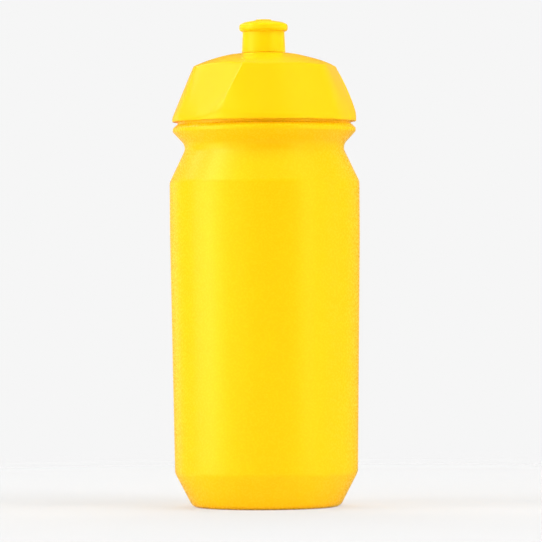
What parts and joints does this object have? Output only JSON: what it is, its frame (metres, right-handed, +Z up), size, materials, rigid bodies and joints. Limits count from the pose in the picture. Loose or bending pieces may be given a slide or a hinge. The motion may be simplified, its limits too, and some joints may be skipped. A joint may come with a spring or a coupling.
{
  "type": "bicycle water bottle",
  "caption": "Squeeze water bottle with a body sized for a bicycle cage, a necked waist, a screw lid with swirled faces and a push-pull drinking nozzle.",
  "frame": {"origin": "centre of the flat ring that the bottle stands on, at the bottom of the bounding box", "axes": "+Z up the bottle's axis from the floor to the nozzle; -Y is the side that the picture shows; +X to that side's right"},
  "size_m": [0.074, 0.074, 0.1898],
  "materials": {
    "bottle_plastic": "soft satin, yellow blown polyethylene",
    "lid_plastic": "satin, yellow moulded polypropylene",
    "nozzle_plastic": "satin, yellow moulded polypropylene",
    "mouthpiece_rubber": "soft matte, yellow thermoplastic elastomer",
    "seal_rubber": "matte, translucent white silicone"
  },
  "bodies": {
    "bottle": {"bottle_shell": "bottle_plastic"},
    "seal": {"mouth_seal": "seal_rubber"},
    "lid": {"lid_shell": "lid_plastic", "spout_seal": "seal_rubber"},
    "nozzle": {"nozzle_slide": "nozzle_plastic", "nozzle_bite": "mouthpiece_rubber"}
  },
  "joints": [
    {"name": "lid_lift", "type": "slide", "parent": "bottle", "child": "seal", "axis": [0, 0, 1], "range_m": [0, 0.00565]},
    {"name": "lid_turn", "type": "hinge", "parent": "seal", "child": "lid", "pos_m": [0, 0, 0.1585], "axis": [0, 0, 1], "range_deg": [0, 450]},
    {"name": "nozzle_pull", "type": "slide", "parent": "lid", "child": "nozzle", "axis": [0, 0, 1], "range_m": [0, 0.005]}
  ],
  "couplings": [
    {"joint": "lid_lift", "follows": "lid_turn", "m_per_rad": 0.0007162}
  ]
}
